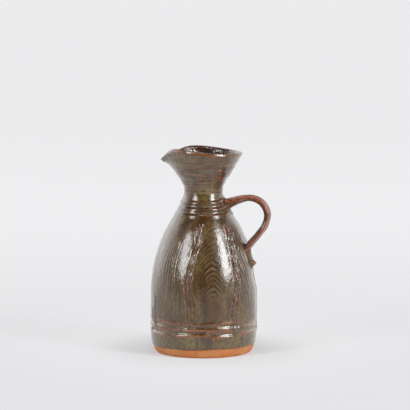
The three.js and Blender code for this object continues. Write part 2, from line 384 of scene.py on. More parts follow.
x, y, z = points_of(outer_coat)
radius = np.hypot(x, y)
turn = wrapped(np.arctan2(y, x) - FACE_TURN)
shown = radius > thrown_radius(z) + 0.12
waver = soft_noise(x, y, z, 34, 3)
tremor = soft_noise(x, y, z, 9, 4)
quiver = soft_noise(x, y, z, 3.2, 10)
dashes = soft_noise(x / 4, y / 4, z, 2.4, 11)


def scored(distance, depth, width):
    """A line drawn with a point: a furrow with a low burr along both sides, and the share of each."""
    furrow = bell(distance, width)
    burr = bell(np.abs(distance) - 1.9 * width, 0.8 * width)
    return 0.32 * depth * burr - depth * furrow, furrow, burr


def note(piece, name, values):
    """Keeps one number from 0 to 1 at each vertex, for the piece's material to read."""
    attribute = piece.data.attributes.new(name, "FLOAT", "POINT")
    attribute.data.foreach_set("value", np.clip(values, 0, 1).astype(np.float32))


# The hand leaves the wall uneven, a little full at the waist and a little slim at the belly.
relief = 0.15 * waver + 0.06 * tremor + 0.02 * quiver
relief += bell(z - 164, 8) - 0.4 * bell(z - 48, 32) + (0.12 * tremor + 0.05 * quiver) * bell(z - 154, 6)
pool = np.zeros_like(z)
thin = np.zeros_like(z)
# This darkening towards umber marks where the glaze ran or pooled dark, and also paints shade on the beak,
# the strap's inner face and the thumb dent above the nub.
umber_and_shade = np.zeros_like(z)
comb = np.zeros_like(z)

# Rings round the collar, turned with a tool while the wheel went round: steep bands, each with a crest at
# its top that the glaze breaks on, and a groove above the crest where it pools.
ring_phase = smooth_through(
    (120, RINGS[0] - 6, RINGS[0], RINGS[1], RINGS[2], RINGS[2] + 5.2, 190),
    (-3, -1, 0, 1, 2, 3, 8),
    z + 0.35 * waver + 1.2,
)
ring_zone = fade(z, 134, 141) * (1 - fade(z, 151.5, 155))
ring_share = ring_phase - np.floor(ring_phase)
band = fade(ring_share, 0, 0.74) - fade(ring_share, 0.76, 1)
relief += ring_zone * (0.8 + bell(turn - 0.25, 0.75)) * (band - 0.2)
groove = 1 - fade(ring_share, 0.06, 0.3) + fade(ring_share, 0.88, 1)
pool = np.maximum(pool, ring_zone * np.clip(groove, 0, 1))
umber_and_shade = np.maximum(umber_and_shade, 0.4 * ring_zone * bell(ring_share - 0.5, 0.2) * (1 - fade(dashes, -0.1, 0.3)))
crest = bell(ring_share - 0.76, 0.1)
thin = np.maximum(thin, 0.9 * ring_zone * crest * np.clip(0.5 + 0.8 * dashes + 0.4 * waver, 0, 1))
umber_and_shade = np.maximum(umber_and_shade, 0.95 * ring_zone * bell(ring_share - 0.93, 0.1))
umber_and_shade = np.maximum(umber_and_shade, 0.55 * bell(z - 133, 4) * np.clip(0.6 + 0.9 * tremor, 0, 1))

# Fine throwing lines round the funnel, left by the fingertips.
funnel = fade(z, 153, 160) * (1 - fade(z, 194, 199))
finger_line = np.cos(2 * math.pi * (z / 3.1 + turn / (2 * math.pi)) + 1.3 * waver)
relief += funnel * (0.14 * finger_line + 0.12 * np.cos(2 * math.pi * z / 7.4 + 1))
dash_line = fade(finger_line, 0.2, 0.9) * fade(dashes + 0.3 * waver, 0.0, 0.3)
thin = np.maximum(thin, funnel * (0.8 - 0.5 * fade(z, 182, 196)) * dash_line)
pool = np.maximum(pool, funnel * 0.5 * fade(-finger_line, 0.2, 1))

# Two belts scored freehand low on the body, stroke after stroke, with a burr where each stroke ends.
STROKES_ROUND = 9
for place, depth, phase in ((BELTS[0], 1.1, 0.37), (BELTS[1], 1.05, 0.12)):
    stroke_at = (turn / (2 * math.pi) + 0.5) * STROKES_ROUND + phase
    stroke = np.floor(stroke_at) % STROKES_ROUND
    along = stroke_at - np.floor(stroke_at)
    drift = 0.7 * np.sin(2.7 * stroke + 9 * phase) + 1.1 * (along - 0.5) * np.sin(1.9 * stroke)
    off = z - place - (drift + 0.2 * tremor)
    cut, furrow, burr = scored(off, depth, 1.5)
    firm = fade(along, 0, 0.05) * (1 - fade(along, 0.95, 1)) * np.clip(0.95 + 0.4 * tremor, 0.6, 1)
    to_end = np.minimum(along, 1 - along) * 2 * math.pi * radius / STROKES_ROUND
    bead = bell(to_end, 1.3) * bell(off, 1.3)
    relief += cut * firm + 0.65 * bead
    pool = np.maximum(pool, furrow * firm)
    umber_and_shade = np.maximum(umber_and_shade, 0.4 * firm * bell(off + 1.0, 0.4))
    rubbed = np.clip(0.65 + 1.2 * soft_noise(x, y, 3 * z, 14, 31 + phase), 0, 1)
    thin = np.maximum(thin, burr * firm * rubbed)
    thin = np.maximum(thin, bead)

# Borders between the panels: pairs of deep sinuous lines from the shoulder to the belts, one of them cut
# short. The two beside the front panel are pressed hardest.
lean = math.radians(8) * fade(z, 92, 132)
panel_place = (turn - lean - FIRST_PANEL) / PANEL_ANGLE + 0.5
border = np.round(panel_place)
border_name = border % PANELS
border_turn = FIRST_PANEL + (border - 0.5) * PANEL_ANGLE
swing = 2.4 * np.sin(z / 13 + 2.4 * border_name - 0.9) + 0.4 * np.sin(z / 4.1 + 1.3 * border_name)
arc = radius * wrapped(turn - lean - border_turn) - swing * radius / 52
bold = border_name < 2
border_top = np.where(border_name == SHORT_BORDER, 62, PANEL_TOP)
border_zone = fade(z, 23 + 5 * np.sin(3 * border_name), 32) * (1 - fade(z, border_top - 8, border_top + 1))
for side, phase in ((-1, 0.0), (1, 1.9)):
    stray = soft_noise(37 * border_name, 50 * side + 0 * z, z, 10, 21)
    offset = side * (1.7 + 1.7 * (1 - fade(z, 50, 98))) + 1.8 * stray + 0.45 * tremor
    cut, furrow, burr = scored(arc - offset, 0.95, 0.8)
    broken_at = soft_noise(x, y, z, 8, 12 + phase)
    firm = border_zone * np.clip(0.7 + 1.3 * broken_at, 0.08, 1)
    lumps = fade(soft_noise(x, y, z, 4.5, 18 + phase), 0.08, 0.5)
    bead = border_zone * bell(arc - offset + 1.3 * side, 1.2) * lumps
    relief += cut * firm + np.where(bold, 0.7, 0.35) * bead
    umber_and_shade = np.maximum(umber_and_shade, 0.7 * furrow * firm)
    rusty = np.where(bold, 0.45, 0.1)
    thin = np.maximum(thin, firm * burr * np.clip(rusty + 1.0 * tremor, 0, 0.9))
    thin = np.maximum(thin, 0.5 * bead)
pressed = soft_noise(x, y, z / 1.6, 4.6, 41)
relief += np.where(bold, 0.9, 0.25) * border_zone * bell(arc, 4.5) * pressed
nicks = border_zone * bell(arc, 3) * fade(quiver + 0.6 * tremor, 0.15, 0.5)
relief -= np.where(border_name == RIGHT_BORDER, 0.5, 0.2) * nicks
umber_and_shade = np.maximum(umber_and_shade, 0.6 * nicks)
comb = np.maximum(comb, 0.6 * border_zone * bell(arc, 4))
umber_and_shade = np.maximum(umber_and_shade, 0.45 * border_zone * bell(arc, 4))

# Combing inside the panels: nested arches in three of them, and upright strokes in the others.
COMB_DEPTHS = (0.7, 1.0, 0.7, 0.7, 0.7, 0.7, 0.45)
ARCH_SPAN = 200
ARCH_TEETH = 40
panel = np.floor(panel_place) % PANELS
across = 2 * (panel_place - np.floor(panel_place)) - 1
beside_border = fade(np.abs(arc), 2.6, 5)
comb_zone = fade(z, PANEL_BOTTOM + 1, PANEL_BOTTOM + 9) * (1 - fade(z, PANEL_TOP - 9, PANEL_TOP - 1))
comb_zone = comb_zone * beside_border
is_arch = (panel % 2 == 0) * (panel < 5)
across_mm = across * radius * PANEL_ANGLE / 2 + 1.1 * waver + 0.5 * tremor
steepness = 2.2 + 0.8 * (1 - fade(z, 58, 100))
arch_height = z + steepness * (np.hypot(across_mm + 1, 13) - 13) + 1.7 * tremor + 0.8 * quiver
arch_ground = comb_zone * is_arch * (1 - fade(np.abs(across_mm), 11, 19))
arch_ground = arch_ground * (1 - 0.3 * fade(across_mm, 8, 13))
arch_ground = arch_ground * fade(z, 52, 72) * np.clip(0.7 + 0.9 * tremor + 0.5 * waver, 0.1, 1)
long_tremor = soft_noise(x, y, z / 5, 6, 14)
stroke_place = across * 6.4 + 0.5 * np.sin(z / 21 + 1.7 * panel) + 0.3 * waver + 0.45 * long_tremor
stroke_place += (panel == RIGHT_PANEL) * (z - 85) / 16
stroke_line = np.cos(2 * math.pi * stroke_place)
stroke_group = np.floor(stroke_place / 3)
stroke_top = PANEL_TOP - 12 + 9 * np.sin(7.1 * stroke_group + 2 * panel) + 8 * (panel == RIGHT_PANEL)
stroke_bottom = PANEL_BOTTOM + 11 + 10 * np.sin(4.3 * stroke_group + 3 * panel)
stroke_ground = comb_zone * (1 - is_arch) * fade(z, stroke_bottom, stroke_bottom + 6)
stroke_ground = stroke_ground * (1 - fade(z, stroke_top - 6, stroke_top))
left_share = fade(across, -0.8, -0.35) * (1 - fade(across, 0.1, 0.4) * fade(z, 60, 82))
stroke_ground = stroke_ground * np.where(panel == LEFT_PANEL, left_share, 1)
stroke_ground = stroke_ground * np.where(panel == SPOUT_PANEL, 1 - fade(across, -0.2, 0.2), 1)
stroke_ground = stroke_ground * np.where(panel == RIGHT_PANEL, 1 - fade(across, -0.25, 0.1), 1)
stroke_zone = stroke_ground * np.clip(0.8 + 0.8 * tremor + 0.4 * long_tremor, 0.05, 1)
scratchy = np.where(panel == RIGHT_PANEL, 1.5, 1.0)
furrows = fade(stroke_line, -0.1, 0.8)
relief -= 0.28 * scratchy * stroke_zone * furrows
relief += 0.1 * quiver * stroke_ground * (panel == RIGHT_PANEL)
pool = np.maximum(pool, 0.95 * stroke_zone * furrows)
stroke_run = np.where(panel == LEFT_PANEL, 0.15 + 0.45 * fade(z, 62, 84), 0.9)
umber_and_shade = np.maximum(umber_and_shade, stroke_run * stroke_zone * fade(-stroke_line, -0.2, 0.6))
comb = np.maximum(comb, np.choose(panel.astype(int), COMB_DEPTHS) * stroke_ground)
pool = np.maximum(pool, 0.55 * arch_ground)
umber_and_shade = np.maximum(umber_and_shade, 0.45 * arch_ground * fade(z, 92, 106))

# Olive lies evenly under the belts, and in a soft cloud low on the flank to the left of the front.
pool = np.maximum(pool, 0.45 * (1 - fade(z, 19, 24)))
pool = np.maximum(pool, 0.4 * bell(z - 56, 17) * bell(turn + 0.7, 0.32))

# Runs: thick dark dribbles of glaze that slid down the funnel, a hint of red at their edges.
for place, slide, top, length, width in (
    (36, 1.0, 190, 28, 3.3), (47, 0.8, 184, 29, 2.4), (160, 0.6, 188, 27, 2.2), (-118, -0.7, 180, 20, 1.8),
    (-52, 0.5, 184, 15, 1.3), (95, 0.4, 186, 22, 1.6), (-160, 0.3, 190, 24, 1.9),
):
    bearing = np.radians(place + slide * (top - z))
    off = radius * wrapped(turn - bearing) + 0.9 * tremor
    stretch = fade(z, top - length, top - length + 4) * (1 - fade(z, top - 5, top))
    dribble = stretch * bell(off, width) * np.clip(1.0 + 0.6 * tremor, 0.4, 1)
    relief += 0.22 * dribble
    umber_and_shade = np.maximum(umber_and_shade, dribble)
    thin = np.maximum(thin, 0.5 * stretch * bell(np.abs(off) - 1.7 * width, 0.7) * fade(tremor, -0.1, 0.4))

# The lip is thin and red just under its crest. The glaze line is a thick rolled edge above the bare foot.
spout_turn = np.degrees(wrapped(turn - SPOUT_TURN))
lip_band = bell(z - 200.2, 0.75) * np.clip(0.75 + 0.8 * tremor, 0.1, 1) * fade(np.abs(spout_turn), 25, 70)
beak_edge = np.maximum(
    0.8 * bell(spout_turn, 34) * bell(z - 200.8, 0.8),
    bell(spout_turn, 12) * fade(z, 196, 199.2) * np.clip(0.9 + 0.6 * tremor, 0.5, 1),
)
lip_band = np.maximum(lip_band, beak_edge)
pool = pool * (1 - fade(z, 197, 199))
thin = np.maximum(thin, lip_band)
# The beak is darkened from the funnel up to the lip: painted shade, where its turned-away face reflects
# little.
umber_and_shade = np.maximum(umber_and_shade, 0.6 * bell(spout_turn, 22) * fade(z, 184, 193) * (1 - fade(z, 199.6, 200.6)))
umber_and_shade = np.maximum(umber_and_shade, 0.7 * fade(z, 201, 201.7))
thin = np.maximum(thin, 0.3 * fade(z, 192, 199) * fade(waver, -0.2, 0.5) * (1 - fade(z, 200, 201)))
umber_and_shade = np.maximum(umber_and_shade, 0.5 * (1 - fade(z, 8.7, 9.6)))

# The glaze is thin and hardly glossy on the beak, just below the rings and on the shoulder by the handle.
dry = np.maximum(beak_edge, 0.85 * bell(spout_turn, 26) * fade(z, 182, 193) * (1 - fade(z, 200.8, 201.6)))
dry = np.maximum(dry, 0.95 * bell(z - 135.5, 3) * bell(turn, 0.7))
dry = np.maximum(dry, 0.85 * bell(z - 121, 12) * bell(turn - 0.96, 0.24))

# One flank gave way a little under the handle while the clay was soft.
handle_turn = wrapped(turn - HANDLE_TURN)
relief -= 1.9 * bell(z - 77, 9) * bell(handle_turn * radius - 11, 15)

# All of it stays inside the widest circle and leaves the glaze line and the crest of the lip alone. The hem
# waves, and the beak is drawn down and out.
relief = np.minimum(relief, WIDEST - radius)
relief = relief * shown * fade(z, 8.6, 10.5) * (1 - fade(z, 198.5, 201))
grow = 1 + relief / np.maximum(radius, 1)
hem_wave = 0.75 * np.sin(turn + 0.4) + 0.45 * np.sin(3 * turn + 1.2) + 0.4 * np.sin(7 * turn) * np.cos(turn)
lifted = z + hem_wave * (1 - fade(z, 8.5, 20))
beak = bell(spout_turn, 19) * fade(z, 182, 195.5) * (radius > CREST_RADIUS + 0.2)
throat = 1.7 * bell(spout_turn, 24) * bell(z - 190.5, 6) * (radius > CREST_RADIUS - 12) * shown
grow += (0.8 * beak * fade(z, 192, 199) + throat) / np.maximum(radius, 1)
lifted -= 4.6 * beak * (1 - fade(z, 198.2, 201))
move_points(outer_coat, *pull_spout(x * grow, y * grow, lifted))
note(outer_coat, "pool", pool)
note(outer_coat, "thin", thin)
note(outer_coat, "umber_and_shade", umber_and_shade)
note(outer_coat, "comb", comb)
note(outer_coat, "arch_place", arch_height / ARCH_SPAN)
note(outer_coat, "arch_share", arch_ground)
note(outer_coat, "dry", dry)
note(outer_coat, "nicked", border_zone * bell(arc, 4.2) * np.where(border_name == RIGHT_BORDER, 0.9, 0.25))

BROWN = (0.094, 0.046, 0.014, 1)
OLIVE = (0.19, 0.139, 0.043, 1)
RUST = (0.38, 0.112, 0.05, 1)
UMBER = (0.036, 0.012, 0.004, 1)
# A pale ash olive for the combing's burrs; it also paints the sheen that the combed ridges catch.
PALE_GLAZE_AND_SHEEN = (0.25, 0.19, 0.125, 1)
GLAZE_IOR = 1.5
BROAD_GLOSS = 0.22
SHARP_GLOSS_ROUGHNESS = 0.11
SHARP_GLOSS_IOR = 1.65


def glaze_finish(name, piece, brown, olive, rust, pale_and_sheen, cloudiness, ripples, gloss):
    """Iron glaze: brown clouded with olive, olive where it pools, rust where it is thin, umber where it ran
    and umber as painted shade. Patches, specks and the comb's scratches darken it, and the burrs beside the
    scratches are paler, partly pale glaze and partly a painted sheen. A sharp gloss lies over a broad one,
    rippled a little."""
    finish = Finish(name)
    running = finish.grain(15, 3, finish.stretched(1, 1, 0.3))
    dust = finish.spread(finish.grain(3.2, 4), 0.38, 0.6, 0.15, 1)
    pooled = finish.work("ADD", finish.noted("pool"), finish.spread(running, 0.4, 0.64, 0, cloudiness))
    body = finish.mix(finish.times(pooled, dust), brown, olive)

    combed = finish.noted("comb")
    comb_teeth = finish.grain(2.6, 2, finish.stretched(1, 1, 0.07))
    thrown = finish.spread(finish.height(), 150 * MM, 168 * MM)
    bands = finish.grain(2.4, 3, finish.stretched(0.12, 0.12, 1))
    arched = finish.noted("arch_share")
    arches = finish.times(finish.teeth_of("arch_place", ARCH_TEETH), arched)
    burrs = finish.times(combed, finish.spread(comb_teeth, 0.36, 0.48, 0.75, 0))
    burrs = finish.most(burrs, finish.times(thrown, finish.spread(bands, 0.36, 0.5, 0.4, 0)))
    burrs = finish.most(burrs, finish.times(finish.work("SUBTRACT", arched, arches), 0.36))
    body = finish.mix(burrs, body, pale_and_sheen)

    scratches = finish.times(combed, finish.spread(comb_teeth, 0.5, 0.62, 0, 0.9))
    scratches = finish.most(scratches, finish.times(arches, 0.9))
    scratches = finish.most(scratches, finish.times(thrown, finish.spread(bands, 0.5, 0.64, 0, 0.5)))
    streaks = finish.spread(finish.grain(9, 4, finish.stretched(1, 1, 0.22)), 0.5, 0.72, 0, 0.7)
    dark = finish.most(finish.most(streaks, scratches), finish.noted("umber_and_shade"))
    streaked = finish.mix(dark, body, UMBER)
    nicks = finish.times(finish.noted("nicked"), finish.spread(finish.grain(2.4, 2), 0.5, 0.6))
    streaked = finish.mix(finish.times(nicks, 0.5), streaked, UMBER)
    worn = finish.times(finish.noted("thin"), finish.spread(finish.grain(2.2, 3), 0.34, 0.56, 0.3, 1))
    broken = finish.mix(worn, streaked, rust)
    specked = finish.mix(finish.spread(finish.grain(1.6, 3), 0.52, 0.68, 0, 0.65), broken, UMBER)

    ripple = finish.bump(finish.grain(5, 2), ripples)
    teeth = finish.bump(finish.times(combed, comb_teeth), 0.6, ripple)
    nicked = finish.bump(nicks, 0.45, teeth)
    peel = finish.bump(finish.grain(1.3, 3), 0.13, nicked)
    finish.use(piece, specked, finish.spread(finish.grain(6, 3), 0.3, 0.7, 0.2, 0.36), peel)
    finish.links.new(peel, finish.shader.inputs["Coat Normal"])
    finish.shader.inputs["IOR"].default_value = GLAZE_IOR
    finish.shader.inputs["Specular IOR Level"].default_value = BROAD_GLOSS
    finish.shader.inputs["Coat Weight"].default_value = gloss
    finish.shader.inputs["Coat Roughness"].default_value = SHARP_GLOSS_ROUGHNESS
    finish.shader.inputs["Coat IOR"].default_value = SHARP_GLOSS_IOR
    return finish


olive_glaze = glaze_finish("olive_glaze", outer_coat, BROWN, OLIVE, RUST, PALE_GLAZE_AND_SHEEN, 0.74, 0.2, 1.0)
wet = olive_glaze.spread(olive_glaze.noted("dry"), 0, 1, 1, 0.1)
olive_glaze.links.new(wet, olive_glaze.shader.inputs["Coat Weight"])
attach(outer_coat, "root")
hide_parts("outer_glaze")


# Liner coat: the same glaze poured in, swilled round and poured out, from the crest of the lip to the floor.
# It lies thick, with soft finger rings of the throwing under it. Its colours are darker than the outside's:
# partly the thick glaze, partly painted shade inside the jug.
LINER_COLUMNS = 260
liner_heights = np.concatenate((np.arange(15.5, 150, 2.2), np.arange(150, 198.6, 1.0)))
liner_wall = [(inside_radius(h) - GLAZE + 0.16 * math.cos(h * 0.9), h) for h in liner_heights]
liner_floor = [(r, FLOOR_THICKNESS + GLAZE + 0.3 * (r / 34) ** 4) for r in np.linspace(0, 34, 16)]
liner_bend = [(37.4, 9.6), (40.2, 11.3), (42.0, 13.4)]
liner_radius, liner_top = liner_wall[-1]
liner_rise = LIP_HEIGHT + GLAZE - liner_top - 0.5
liner_arc = [
    (CREST_RADIUS - (CREST_RADIUS - liner_radius) * math.cos(t), liner_top + 0.5 + liner_rise * math.sin(t))
    for t in np.radians((10, 26, 44, 66, 90))
]
liner_back = [(CREST_RADIUS, 201.0)] + [(inside_radius(h) + 0.1, h) for h in np.arange(198.5, 14, -5)]
liner_back += [(36, 8.2), (0, FLOOR_THICKNESS + 0.1)]
liner_outline = liner_floor + liner_bend + liner_wall + liner_arc + liner_back
liner_coat = turn_outline("liner_coat", liner_outline, LINER_COLUMNS)
x, y, z = points_of(liner_coat)
waver = soft_noise(x, y, z, 30, 5)
tremor = soft_noise(x, y, z, 8, 6)
red_patch = fade(z, 178, 199) * fade(waver, 0.1, 0.6)
note(liner_coat, "thin", 0.4 * bell(z - 200.6, 0.8) * np.clip(0.5 + tremor, 0, 1) + 0.4 * red_patch)
note(liner_coat, "pool", 0.5 * fade(-waver, 0.0, 0.7))
note(liner_coat, "umber_and_shade", 0.6 * fade(z, 201, 201.7))
ripple = (0.25 * tremor + 0.3 * waver) * fade(z, 160, 170) * (1 - fade(z, 197, 200))
grow = 1 + ripple / np.maximum(np.hypot(x, y), 1)
move_points(liner_coat, *pull_spout(x * grow, y * grow, z))

# Darker copies of brown and olive for the inside: partly thick glaze, partly painted shade.
INSIDE_BROWN_AND_SHADE = (0.03, 0.014, 0.01, 1)
INSIDE_OLIVE_AND_SHADE = (0.055, 0.032, 0.02, 1)
glaze_finish("dark_glaze", liner_coat, INSIDE_BROWN_AND_SHADE, INSIDE_OLIVE_AND_SHADE, RUST, INSIDE_OLIVE_AND_SHADE, 0.4, 0.9, 1.0)
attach(liner_coat, "root")
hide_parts("liner_glaze")


# Pulled handle: a strap of the same clay pulled wet from a lump, thick where it is luted to the collar.
# It makes a small ear, is pressed onto the flank with a thumb, and its end is flicked out as a nub.
ROOT_HEIGHT = 147
LANDING_HEIGHT = 104
THUMB_HEIGHT = 97
NUB_HEIGHT = 90
PRESSED_REACH = 1.15
NUB_REACH = 4.4
EAR_RADIUS = 17
EAR_HEIGHT = 137.6
EAR_REACH = 21.7
WAY_POINTS = 600
STRAP_CLAY_SIDES = 20
STRAP_CLAY_STEPS = 90
TAPER = (0, 0.16, 0.45, 0.7, 0.86, 1)
STRAP_WIDTHS = (14, 10, 10, 10, 11, 9)
STRAP_THICKNESSES = (9, 4, 4, 4, 4.6, 3.2)


def on_ear(degrees):
    reach = float(thrown_radius(LANDING_HEIGHT)) + EAR_REACH - EAR_RADIUS
    angle = math.radians(degrees)
    return (reach + EAR_RADIUS * math.cos(angle), EAR_HEIGHT + EAR_RADIUS * math.sin(angle))


strap_way = [
    (float(thrown_radius(ROOT_HEIGHT)) - 4, ROOT_HEIGHT - 2),
    (float(thrown_radius(ROOT_HEIGHT)) + 4, ROOT_HEIGHT + 1),
    on_ear(95), on_ear(52), on_ear(8), on_ear(-36),
    (float(thrown_radius(LANDING_HEIGHT)) + PRESSED_REACH, LANDING_HEIGHT),
    (float(thrown_radius(THUMB_HEIGHT)) + PRESSED_REACH, THUMB_HEIGHT),
    (float(thrown_radius(NUB_HEIGHT)) + NUB_REACH, NUB_HEIGHT),
]


def smooth_way(way, count):
    """Even points along a smooth curve through the way's points, and the directions there."""
    way = np.array(way, float)
    ends = np.vstack((2 * way[0] - way[1], way, 2 * way[-1] - way[-2]))
    fine = []
    for a, b, c, d in zip(ends, ends[1:], ends[2:], ends[3:]):
        t1 = np.linalg.norm(b - a) ** 0.5
        t2 = t1 + np.linalg.norm(c - b) ** 0.5
        t3 = t2 + np.linalg.norm(d - c) ** 0.5
        for t in np.linspace(t1, t2, 60, endpoint=False):
            ab = ((t1 - t) * a + t * b) / t1
            bc = ((t2 - t) * b + (t - t1) * c) / (t2 - t1)
            cd = ((t3 - t) * c + (t - t2) * d) / (t3 - t2)
            abc = ((t2 - t) * ab + t * bc) / t2
            bcd = ((t3 - t) * bc + (t - t1) * cd) / (t3 - t1)
            fine.append(((t2 - t) * abc + (t - t1) * bcd) / (t2 - t1))
    fine = np.vstack((fine, way[-1:]))
    lengths = np.concatenate(([0], np.cumsum(np.linalg.norm(np.diff(fine, axis=0), axis=1))))
    even = np.linspace(0, lengths[-1], count)
    points = np.stack([np.interp(even, lengths, fine[:, k]) for k in (0, 1)], axis=1)
    ways = np.gradient(points, axis=0)
    return points, ways / np.linalg.norm(ways, axis=1, keepdims=True)


def bar(name, sides, steps):
    """A straight round bar one unit long, closed by a fan at each end and cut into even steps."""
    bpy.ops.object.select_all(action="DESELECT")
    bpy.ops.mesh.primitive_cylinder_add(
        vertices=sides, radius=1, depth=1, end_fill_type="TRIFAN", location=(0, 0, 0.5)
    )
    piece = bpy.context.object
    piece.name = name
    piece.data.name = name
    bpy.ops.object.transform_apply(location=True, rotation=True, scale=True)
    bpy.ops.object.mode_set(mode="EDIT")
    bpy.ops.mesh.select_mode(type="EDGE")
    bpy.ops.mesh.select_all(action="DESELECT")
    bpy.ops.object.mode_set(mode="OBJECT")
    for line in piece.data.edges:
        ends = [piece.data.vertices[v].co.z for v in line.vertices]
        line.select = abs(ends[0] - ends[1]) > 0.5
    bpy.ops.object.mode_set(mode="EDIT")
    bpy.ops.mesh.subdivide_edgering(number_cuts=steps - 1, interpolation="LINEAR")
    bpy.ops.mesh.select_all(action="SELECT")
    bpy.ops.mesh.normals_make_consistent(inside=False)
    bpy.ops.object.mode_set(mode="OBJECT")
    bpy.ops.object.shade_smooth()
    return piece


def coat_radius(height):
    return thrown_radius(height) + GLAZE


def bend_strap(piece, grow, worked):
    """Bends a straight bar along the handle's way and gives it the strap's section. The root spreads into
    the collar, and the tail is smeared into the flank as a low ridge that ends in the nub."""
    u, v, share = mesh_points(piece)
    points, ways = smooth_way(strap_way, WAY_POINTS)
    at = np.clip(share, 0, 1) * (WAY_POINTS - 1)
    px, pz = (np.interp(at, np.arange(WAY_POINTS), points[:, k]) for k in (0, 1))
    wx, wz = (np.interp(at, np.arange(WAY_POINTS), ways[:, k]) for k in (0, 1))
    half_width = smooth_through(TAPER, STRAP_WIDTHS, share) / 2 + grow
    half_thick = smooth_through(TAPER, STRAP_THICKNESSES, share) / 2 + grow
    half_thick = half_thick + worked * (0.45 * bell(share - 0.68, 0.16) + 0.5 * bell(share - 0.28, 0.14))
    half_width = half_width + worked * 1.3 * bell(share - 0.7, 0.14)
    ring = np.hypot(u, v)
    angle = np.arctan2(v, u)
    su = np.sign(np.cos(angle)) * np.abs(np.cos(angle)) ** 0.85 * ring
    sv = np.sign(np.sin(angle)) * np.abs(np.sin(angle)) ** 0.85 * ring
    furrow = bell(su, 0.4) * fade(share, 0.1, 0.22) * (1 - fade(share, 0.74, 0.84))
    sv_worked = sv - worked * (0.24 * furrow * (sv > 0.3) - 0.12 * furrow * (sv < -0.3))
    wobble = 1 + worked * 0.04 * np.sin(share * 43 + 1.5 * su) * fade(share, 0.1, 0.2)
    thick_root = worked * 2.2 * fade(sv, -0.1, 0.6) * (1 - fade(share, 0.1, 0.33))
    drawn = worked * 0.36 * np.cos(5 * angle + 0.8 * np.sin(9 * share)) * fade(share, 0.06, 0.2) * ring
    out = (sv_worked * half_thick + drawn * sv) * wobble + thick_root
    side = su * half_width * (1 + worked * 0.03 * np.sin(share * 31)) + drawn * su
    x, y, z = px - wz * out, side, pz + wx * out

    gap = np.hypot(x, y) - coat_radius(z)
    fillet = np.where(sv < 0, 4.5, 3.0)
    near = np.clip(1 - gap / fillet, 0, 1)
    flare = worked * (share < 0.3) * fillet * (1 - np.sqrt(np.clip(1 - near**2, 0, 1)))
    length = np.maximum(np.hypot(su, sv), 1e-6)
    x, y, z = x - wz * flare * sv / length, y + flare * su / length, z + wx * flare * sv / length

    low = pz - 6 * fade(share, 0.93, 1)
    ridge_half = smooth_through(
        (80, 85, 88, 90, 92, 97, 104, 112),
        (4, 5.6, 7.5, 8.5, 9.5, 10.5, 10.2, 8.6),
        low,
    )
    ridge_top = smooth_through(
        (80, 84, 86.6, 88.6, 90.4, 92, 94, 98, 101, 104, 108),
        (-1, -0.5, 1.3, 3.6, 5.2, 4.0, 2.7, 2.2, 2.7, 3.8, 5.2),
        low,
    )
    crown = np.clip(1 - su**2, 0, 1) ** 2
    sunk = 1.3 * (GLAZE - grow)
    smeared = np.where(sv >= 0, (ridge_top + 0.4) * crown - 0.4, -0.4 - 1.2 * np.abs(sv))
    # The middle of the end's fan lies a millimetre in, so that the end closes with no flat faces.
    reach = coat_radius(low) - sunk + np.where(ring < 0.5, -1, smeared)
    swung = ridge_half * su / reach
    tail = fade(-pz, -108, -99) * (share > 0.6)
    x = x + tail * (reach * np.cos(swung) - x)
    y = y + tail * (reach * np.sin(swung) - y)
    z = z + tail * (low - z)
    return x, y, z, share, su, sv, tail, low, np.cos(5 * angle + 0.8 * np.sin(9 * share))


strap_clay = bar("strap_clay", STRAP_CLAY_SIDES, STRAP_CLAY_STEPS)
move_points(strap_clay, *bend_strap(strap_clay, 0.0, 0.0)[:3])
hidden_clay = Finish("handle_clay")
hidden_tone = hidden_clay.mix(hidden_clay.grain(0.9, 3), TOAST, SAND)
hidden_clay.use(strap_clay, hidden_tone, 0.9, hidden_clay.bump(hidden_clay.grain(0.6, 4), 0.12))
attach(strap_clay, "root")
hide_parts("pulled_handle")


# Handle coat: the same iron glaze over the strap. It drains off the outer face, which goes rust red, while
# the inner face and the hollows between the drawn ridges are darkened as painted shade. Root and tail take
# the colour of the body that they are worked into.
STRAP_SIDES = 48
STRAP_STEPS = 330
strap_coat = bar("strap_coat", STRAP_SIDES, STRAP_STEPS)
x, y, z, share, su, sv, tail, low, drawn = bend_strap(strap_coat, GLAZE, 1.0)
tremor = soft_noise(x, y, z, 6, 7)
waver = soft_noise(x, y, z, 18, 8)
lumps = soft_noise(x, y, z, 3.6, 17) * (1 - fade(share, 0.08, 0.2))
move_points(strap_coat, x + 0.5 * lumps, y - 0.4 * lumps, z + 0.5 * lumps)
pulled = soft_noise(9 * su, 9 * sv, 60 * share, 5, 15)
streak = soft_noise(14 * su, 14 * sv, 25 * share, 5, 16)
streaky_low = low + 5 * tremor + 6 * soft_noise(14 * su, 14 * sv, 12 * share, 5, 19)
on_strap = (1 - fade(-streaky_low, -108, -95) * (share > 0.6)) * fade(share, 0.05, 0.16)
outer_face = fade(sv, -0.45, 0.35)
nub_tip = bell(low - 90.2, 1.2) * bell(su, 0.7) * fade(sv, 0, 0.4) * tail
rubbed = 0.62 + 0.5 * bell(share - 0.27, 0.12) - 0.2 * bell(share - 0.55, 0.12)
rubbed = np.clip(rubbed + 0.4 * drawn + 0.4 * pulled + 0.35 * streak + 0.3 * waver, 0, 1)
strap_thin = on_strap * (0.15 + 0.85 * outer_face) * rubbed + 0.7 * nub_tip
note(strap_coat, "thin", strap_thin + 0.6 * fade(lumps, 0.1, 0.5))
note(strap_coat, "pool", (1 - on_strap) * (0.1 + 0.5 * tremor) + 0.15 * on_strap * fade(-streak, 0, 0.5))
